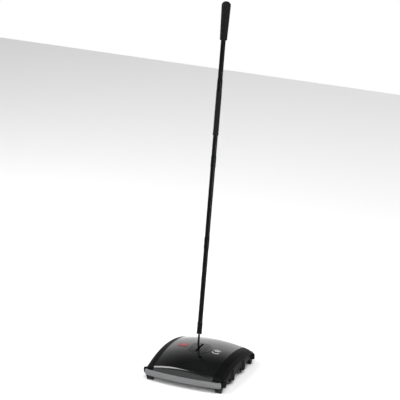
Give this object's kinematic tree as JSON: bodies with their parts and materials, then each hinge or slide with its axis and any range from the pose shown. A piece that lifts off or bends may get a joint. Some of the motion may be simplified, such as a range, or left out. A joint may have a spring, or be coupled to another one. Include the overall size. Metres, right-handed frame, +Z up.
{
  "type": "carpet sweeper",
  "caption": "Push-along floor and carpet sweeper: domed head on wheels that drive a brush roll, tip-out dust pans, perimeter bumpers and a long hinged tube handle.",
  "frame": {"origin": "on the floor under the middle of the head", "axes": "+Z up; X across the head's width; the handle leans back towards +Y and the front bumper faces -Y"},
  "size_m": [0.2666, 0.3307, 1.0939],
  "materials": {
    "cover_black": "deep gloss",
    "cap_black": "fine matt grain",
    "trim_black": "semi-gloss moulded",
    "frame_black": "matt moulded",
    "badge_red": "gloss",
    "emblem_white": "printed, satin",
    "bumper_grey": "satin vinyl",
    "pan_black": "matt moulded",
    "bristle_black": "nylon filament",
    "zinc_steel": "zinc plated",
    "nylon_white": "moulded nylon",
    "brush_wood": "turned beech, oiled",
    "roller_rubber": "moulded rubber",
    "hub_black": "matt moulded",
    "tyre_black": "soft rubber",
    "tube_black": "gloss powder coat",
    "sleeve_black": "soft matt",
    "grip_black": "soft moulded vinyl"
  },
  "bodies": {
    "chassis": {"top_cover": "cover_black", "slot_trim": "trim_black", "badge_plate": "badge_red", "emblem_plate": "emblem_white", "end_cap_left": "cap_black", "end_cap_right": "cap_black", "front_bumper": "bumper_grey", "rear_bumper": "bumper_grey", "chassis_frame": "frame_black", "housing_screws": "zinc_steel", "end_cap_screws": "zinc_steel", "pivot_bracket": "zinc_steel", "bracket_screws": "zinc_steel", "pivot_pin": "zinc_steel", "pivot_pin_clips": "zinc_steel", "brush_bearing_left": "nylon_white", "brush_bearing_right": "nylon_white", "axle_front_left": "zinc_steel", "axle_front_right": "zinc_steel", "axle_rear_left": "zinc_steel", "axle_rear_right": "zinc_steel", "axle_clips": "zinc_steel", "tuft_holder_front_left": "frame_black", "tuft_holder_front_right": "frame_black", "tuft_holder_rear_left": "frame_black", "tuft_holder_rear_right": "frame_black", "corner_tuft_front_left": "bristle_black", "corner_tuft_front_right": "bristle_black", "corner_tuft_rear_left": "bristle_black", "corner_tuft_rear_right": "bristle_black", "pan_hinge_rod_front": "zinc_steel", "pan_hinge_rod_rear": "zinc_steel", "pan_spring_front": "zinc_steel", "pan_spring_rear": "zinc_steel"},
    "brush_roll": {"brush_core": "brush_wood", "brush_spindle": "zinc_steel", "brush_bristles": "bristle_black", "drive_roller_left": "roller_rubber", "drive_roller_right": "roller_rubber"},
    "wheel_front_left": {"wheel_hub_front_left": "hub_black", "wheel_tyre_front_left": "tyre_black"},
    "wheel_front_right": {"wheel_hub_front_right": "hub_black", "wheel_tyre_front_right": "tyre_black"},
    "wheel_rear_left": {"wheel_hub_rear_left": "hub_black", "wheel_tyre_rear_left": "tyre_black"},
    "wheel_rear_right": {"wheel_hub_rear_right": "hub_black", "wheel_tyre_rear_right": "tyre_black"},
    "front_dust_pan": {"front_pan": "pan_black"},
    "rear_dust_pan": {"rear_pan": "pan_black"},
    "handle": {"handle_wire": "tube_black", "wire_bushing": "trim_black", "tube_lower": "tube_black", "tube_second": "tube_black", "tube_third": "tube_black", "tube_upper": "tube_black", "tube_sleeve": "sleeve_black", "handle_grip": "grip_black"}
  },
  "joints": [
    {"name": "brush_spin", "type": "hinge", "parent": "chassis", "child": "brush_roll", "pos_m": [0, 0, 0.0295], "axis": [1, 0, 0], "continuous": true},
    {"name": "wheel_front_left_spin", "type": "hinge", "parent": "chassis", "child": "wheel_front_left", "pos_m": [-0.11075, -0.039, 0.023], "axis": [1, 0, 0], "continuous": true},
    {"name": "wheel_front_right_spin", "type": "hinge", "parent": "chassis", "child": "wheel_front_right", "pos_m": [0.11075, -0.039, 0.023], "axis": [1, 0, 0], "continuous": true},
    {"name": "wheel_rear_left_spin", "type": "hinge", "parent": "chassis", "child": "wheel_rear_left", "pos_m": [-0.11075, 0.039, 0.023], "axis": [1, 0, 0], "continuous": true},
    {"name": "wheel_rear_right_spin", "type": "hinge", "parent": "chassis", "child": "wheel_rear_right", "pos_m": [0.11075, 0.039, 0.023], "axis": [1, 0, 0], "continuous": true},
    {"name": "front_pan_tip", "type": "hinge", "parent": "chassis", "child": "front_dust_pan", "pos_m": [0, -0.113, 0.016], "axis": [-1, 0, 0], "range_deg": [0, 60], "stiffness_Nm_per_rad": 0.05, "springref_deg": -68.75},
    {"name": "rear_pan_tip", "type": "hinge", "parent": "chassis", "child": "rear_dust_pan", "pos_m": [0, 0.113, 0.016], "axis": [1, 0, 0], "range_deg": [0, 60], "stiffness_Nm_per_rad": 0.05, "springref_deg": -68.75},
    {"name": "handle_tilt", "type": "hinge", "parent": "chassis", "child": "handle", "pos_m": [0, 0, 0.069], "axis": [-1, 0, 0], "range_deg": [-40, 78]}
  ],
  "couplings": [
    {"joint": "wheel_front_left_spin", "follows": "brush_spin", "ratio": -0.7086},
    {"joint": "wheel_front_right_spin", "follows": "brush_spin", "ratio": -0.7086},
    {"joint": "wheel_rear_left_spin", "follows": "brush_spin", "ratio": -0.7086},
    {"joint": "wheel_rear_right_spin", "follows": "brush_spin", "ratio": -0.7086}
  ]
}
